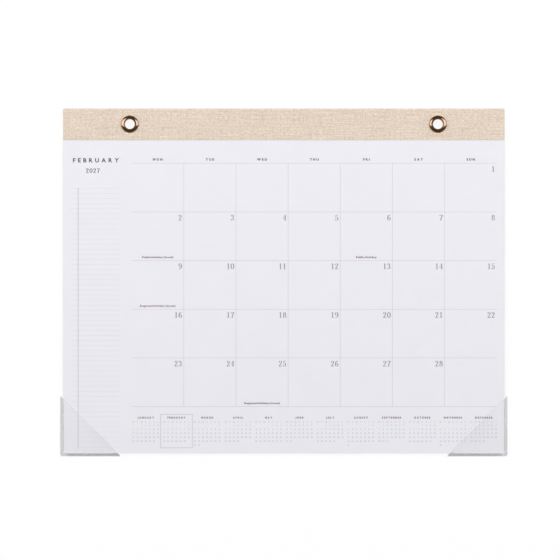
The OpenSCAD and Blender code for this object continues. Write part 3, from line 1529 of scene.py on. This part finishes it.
@dataclass
class Eyelet:
    """One eyelet, rolled over the header, and the washer behind it."""

    side: Side
    segments: int = 120
    roll_steps: int = 20
    corner_steps: int = 5
    wall: float = 0.35 * MM
    flare: float = 2.2 * MM
    crest_share: float = 0.15
    clearance: float = 0.1 * MM

    @property
    def axis(self) -> Pair:
        """X and Y of the eyelet's axis."""
        low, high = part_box("eyelet_" + self.side.word)
        return ((low.x + high.x) / 2, (low.y + high.y) / 2)

    def rim(self) -> Triple:
        """Sizes of the rim, which is half as high as it is wide.

        Returns:
            Its bore, its outer radius and its height over the cloth.
        """
        low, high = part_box("eyelet_" + self.side.word)
        outer, rise = (high.x - low.x) / 2, high.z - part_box("header_band")[1].z
        return outer - 2 * rise, outer, rise

    def profile(self) -> Array:
        """The sheet metal's section, anticlockwise: a flare on the back, a barrel and a rim.

        The rim is two quarter ellipses, steep over the bore and sloping out to the cloth.

        Returns:
            Radius and height of each point.
        """
        bore, outer, rise = self.rim()
        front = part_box("header_band")[1].z
        crest = bore + self.crest_share * (outer - bore)
        flare = bore + self.wall + self.flare
        half, inner = self.wall / 2, rise - self.wall
        steps = self.corner_steps
        shoulder = arc((bore + 2 * self.wall, self.wall * 2), (self.wall, self.wall), 270, 180, steps)
        heel = arc((bore + 2 * self.wall, self.wall * 2), (2 * self.wall, 2 * self.wall), 180, 270, steps)
        lip = arc((flare, half), (half, half), -90, 90, steps)
        inside = arc((crest, front), (crest - bore - self.wall, inner), 180, 90, self.roll_steps)
        under = arc((crest, front), (outer - crest - self.wall, inner), 90, 0, self.roll_steps)[1:]
        slope = arc((crest, front), (outer - crest, rise), 0, 90, self.roll_steps)
        throat = arc((crest, front), (crest - bore, rise), 90, 180, self.roll_steps)[1:]
        return np.concatenate([heel, lip, shoulder, inside, under, slope, throat])

    def washer(self) -> Array:
        """The washer's section, anticlockwise, with rounded outer edges.

        Returns:
            Radius and height of each point.
        """
        low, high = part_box("washer_" + self.side.word)
        hole = self.rim()[0] + self.wall + self.clearance
        outer, half = (high.x - low.x) / 2, (high.z - low.z) / 2
        rim = arc((outer - half, low.z + half), (half, half), -90, 90, 2 * self.corner_steps)
        return np.concatenate([[(hole, low.z)], rim, [(hole, high.z)]])

    def build(self) -> None:
        """Makes the eyelet and its washer, and fixes both to the pad."""
        for kind, profile in (("eyelet", self.profile()), ("washer", self.washer())):
            node = kind + "_" + self.side.word
            ring = revolved(profile, self.axis, self.segments).make("brass_" + node, [BRASS.material()])
            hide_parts(node)
            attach(ring, "pad")
            LOG.info("%s on the %s", kind, self.side.word)


@dataclass
class CornerHolder:
    """A clear corner holder: a front film that climbs from its weld on to the page, and a back film."""

    side: Side
    wall_steps: int = 22
    flat_steps: int = 26
    lip_steps: int = 10
    weld: float = 1.2 * MM
    rise: float = 2.2 * MM
    corner: float = 3.0 * MM
    wall_end: float = 4.4 * MM
    wall_fade: float = 0.7 * MM
    # The side wall's share is lower than the foot's: painted shade, as the foot faces away from the lamps.
    side_wall: float = 0.72
    foot_fade: float = 14.0 * MM
    foot_start: float = 0.4
    lip_end: float = 3.0 * MM
    lip_width: float = 0.8 * MM
    lip_rise: float = 0.05 * MM
    fold_reach: float = 16.0 * MM
    fold_start: float = 0.6
    bow: float = 2.4 * MM
    bow_power: int = 6
    belly_power: int = 4
    tip: float = 0.05 * MM

    def spread(self, lengths: Array) -> Array:
        """Steps along each length: close over the wall, wide over the page and close again at the lip.

        Args:
            lengths: the lengths.

        Returns:
            One column of distances for each length.
        """
        counts = [self.wall_steps, self.flat_steps, self.lip_steps]
        starts, total = np.cumsum([0] + counts[:-1])[:, None], sum(counts)
        parts = np.clip((np.arange(total + 1) - starts) / np.array(counts)[:, None], 0, 1)
        ends = self.wall_end + self.lip_end
        close = self.wall_end * parts[0] + self.lip_end * parts[2]
        wide = np.outer(parts[1], np.maximum(0, lengths - ends))
        return np.outer(close, np.minimum(1, lengths / ends)) + wide

    def outline(self, leg: float) -> tuple[Array, Array, Array]:
        """Places over the holder's right triangle.

        Towards the lip they are pushed out by the bow, times one minus a power of the distance from the lip's
        middle. In the outer corner squares about the corner's centre are drawn in to circles.

        Args:
            leg: the length of the straight edges.

        Returns:
            For each place its distances along the foot, up the side and from the lip.
        """
        across = self.spread(np.full(1, leg - self.tip))[:, 0]
        up = self.spread(leg - across)
        along = across + 0 * up
        belly = 1 - (2 * along / leg - 1) ** self.belly_power
        push = 1 + self.bow * belly * ((along + up) / leg) ** self.bow_power / leg
        along, up = along * push, up * push
        reach, rise = self.corner - along, self.corner - up
        in_corner = (reach > 0) & (rise > 0)
        square, circle = np.maximum(reach, rise), np.where(in_corner, np.hypot(reach, rise), 1.0)
        draw = np.where(in_corner, square / circle, 1.0)
        along, up = self.corner - reach * draw, self.corner - rise * draw
        return along, up, (leg + self.bow * belly - along - up) / math.sqrt(2)

    def wall(self, along: Array, up: Array) -> Array:
        """The mask of the walls, where the film is painted greyer: full at both straight edges, and fainter
        on the side and at the corner. The sides face the lamps and the foot faces away from them, so the foot
        carries more painted shade.

        Args:
            along: distances along the foot.
            up: distances up the side.

        Returns:
            The mask.
        """
        start = self.wall_end - self.wall_fade
        side, foot = (1 - ease((away - start) / self.wall_fade) for away in (along, up))
        foot = foot * (self.foot_start + (1 - self.foot_start) * ease(along / self.foot_fade))
        return np.maximum(self.side_wall * side, foot)

    def film(self) -> Surface:
        """The front film's upper side over a right triangle.

        Its height is the lesser of two half waves, each of which climbs with the distance from a straight
        edge, and a bell curve raises its lip a little.

        Returns:
            The film, with masks for its walls, which are painted greyer, partly as painted shade; for its
            lip, which carries a painted highlight; and for the band behind the lip, which carries painted
            shade.
        """
        low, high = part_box(f"holder_{self.side.word}_front")
        leg, thickness = high.x - low.x, low.z
        along, up, from_lip = self.outline(leg)
        nearest = np.minimum(along, up)
        height = 2 * thickness + (high.z - 2 * thickness) * ease((nearest - self.weld) / self.rise)
        lip = np.exp(-((from_lip / self.lip_width) ** 2)) * ease((nearest - self.weld) / self.wall_end)
        height = height + self.lip_rise * lip
        wall = self.wall(along, up)
        # The fold mask marks painted shade: a band behind the lip where the film is painted greyer.
        fold = np.exp(-from_lip / self.fold_reach) * ease(along / (self.fold_start * leg))
        start = low.x if self.side is Side.LEFT else high.x
        points = np.stack([start - self.side.value * along, low.y + up, height], axis=-1).reshape(-1, 3)
        # These masks steer painted light in the film finish: greyer walls partly as painted shade, a painted
        # highlight along the lip, painted shade behind it.
        masks = {"wall": wall, "lip": lip * (1 - wall), "fold": fold}
        film = Surface(points, quads(*along.shape), masks=masks)
        return film if self.side is Side.LEFT else film.flipped()

    def build(self) -> None:
        """Makes the front film and dresses the back one."""
        body = "holder_" + self.side.word
        film = self.film().make("film_" + body, [FILM.material()])
        wall = film.modifiers.new("film", "SOLIDIFY")
        wall.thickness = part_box(body + "_front")[0].z
        wall.offset = -1
        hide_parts(body + "_front")
        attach(film, body)
        dress(body + "_back", FILM)
        LOG.info("corner holder on the %s", self.side.word)


def dress(node: str, finish: Finish) -> None:
    """Gives a CAD node a finish.

    Args:
        node: the node.
        finish: its finish.
    """
    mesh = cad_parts[node].data
    mesh.materials.clear()
    mesh.materials.append(finish.material())


@dataclass
class BoundBlock:
    """The bound core of the pad: the board, the stubs of the leaves and the glue on their edge."""

    board: Finish = CHIPBOARD
    stubs: Finish = PAPER
    glue: Finish = GLUE

    def build(self) -> None:
        """Dresses the block's CAD nodes."""
        finishes = {"backing_board": self.board, "bound_stubs": self.stubs, "padding_glue": self.glue}
        for node, finish in finishes.items():
            dress(node, finish)
            LOG.info("%s in %s", node, finish.name)


@dataclass
class Studio:
    """A white table under two large soft boxes, seen from straight above."""

    eye: Pair = (-4.82 * MM, 3.07 * MM)
    distance: float = 3.0
    view_width: float = 701.6 * MM
    sensor: float = 36.0
    floor_half: float = 60.0
    floor_drop: float = 0.2 * MM
    floor_tone: float = 0.93
    floor_white: float = 0.86
    floor_glow: float = 1.02
    room_light: float = 0.1
    box_height: float = 4.8
    box_depth: float = 2.4
    box_away: float = 2.9
    box_up: float = 2.3
    box_back: float = 1.1
    box_gap: float = 0.05
    mirror_tint: Triple = (0.92, 1.1, 1.55)
    box_light: dict[Side, float] = field(default_factory=lambda: {Side.LEFT: 4.08, Side.RIGHT: 4.03})

    def camera(self) -> None:
        """Hangs the camera over the pad, with a lens that takes in the view's width."""
        lens = bpy.data.cameras.new("camera")
        lens.sensor_width = self.sensor
        lens.lens = self.sensor * self.distance / self.view_width
        camera = bpy.data.objects.new("camera", lens)
        camera.location = (*self.eye, self.distance)
        bpy.context.scene.collection.objects.link(camera)
        bpy.context.scene.camera = camera

    def lamp(self, side: Side, mirrored: bool) -> None:
        """Hangs half of a soft box, whose power is pi times its area and its brightness.

        The half that shows in polished surfaces is cool, and the other is warm by as much, so that both
        together are white.

        Args:
            side: the side of the pad that it hangs on.
            mirrored: whether it shows in polished surfaces.
        """
        light = bpy.data.lights.new("soft_box_" + side.word, "AREA")
        light.shape = "RECTANGLE"
        light.color = self.mirror_tint if mirrored else tuple(2 - part for part in self.mirror_tint)
        light.size = self.box_height
        light.size_y = self.box_depth
        light.energy = math.pi * self.box_height * self.box_depth * self.box_light[side] / 2
        lamp = bpy.data.objects.new(light.name, light)
        away = self.box_away if mirrored else self.box_away + self.box_gap
        lamp.location = (side.value * away, self.box_back, self.box_up)
        lean = math.atan2(away, self.box_up)
        lamp.rotation_euler = (0, side.value * lean, 0)
        lamp.visible_camera = False
        lamp.visible_glossy = mirrored
        bpy.context.scene.collection.objects.link(lamp)

    def room(self) -> None:
        """Fills the room with a little even light."""
        world = bpy.data.worlds.new("room")
        world.use_nodes = True
        shade = world.node_tree.nodes["Background"]
        shade.inputs["Color"].default_value = WHITE
        shade.inputs["Strength"].default_value = self.room_light
        bpy.context.scene.world = world

    def floor(self) -> None:
        """Lays a table top that keeps a soft shadow and shows white to the camera and in reflections."""
        half = self.floor_half
        corners = np.array([(-half, -half), (half, -half), (half, half), (-half, half)])
        points = np.column_stack([corners, np.full(len(corners), -self.floor_drop)])
        made = bpy.data.materials.new("table_top")
        made.use_nodes = True
        nodes = Nodes(made.node_tree)
        made.node_tree.nodes.clear()
        path = nodes.add("LightPath").outputs
        seen = nodes.math("MAXIMUM", path["Is Camera Ray"], path["Is Glossy Ray"])
        seen = nodes.math("MAXIMUM", seen, path["Is Transmission Ray"])
        white = nodes.add("Emission", {"Color": WHITE, "Strength": self.floor_glow})
        matt = nodes.add("BsdfDiffuse", {"Color": (self.floor_tone, self.floor_tone, self.floor_tone, 1)})
        share = nodes.math("MULTIPLY", seen, self.floor_white)
        mixed = nodes.add("MixShader", {0: share, 1: matt.outputs[0], 2: white.outputs[0]})
        nodes.add("OutputMaterial", {"Surface": mixed.outputs[0]})
        Surface(points, np.array([(0, 1, 2, 3)])).make("table_top", [made], smooth=False)

    def build(self) -> None:
        """Sets up the camera, the light and the table top."""
        bpy.context.scene.view_settings.view_transform = "Standard"
        self.camera()
        self.room()
        self.floor()
        for side in Side:
            self.lamp(side, mirrored=True)
            self.lamp(side, mirrored=False)
        LOG.info("studio with two soft boxes")


def main() -> None:
    """Builds the sub-assemblies in order, and logs the studio, the block, the eyelets and the corner holders.
    """
    logging.basicConfig(level=logging.INFO, format="%(name)s: %(message)s")
    Studio().build()
    BoundBlock().build()
    eyelets = [Eyelet(side) for side in Side]
    for eyelet in eyelets:
        eyelet.build()
    Header().build([eyelet.axis for eyelet in eyelets])
    press = Press(PageLayout())
    pad_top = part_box("header_band")[1].y
    for month in Month:
        if "sheet_" + month.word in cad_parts:
            MonthLeaf(month, press, pad_top).build()
    for side in Side:
        CornerHolder(side).build()


if __name__ == "__main__":
    main()
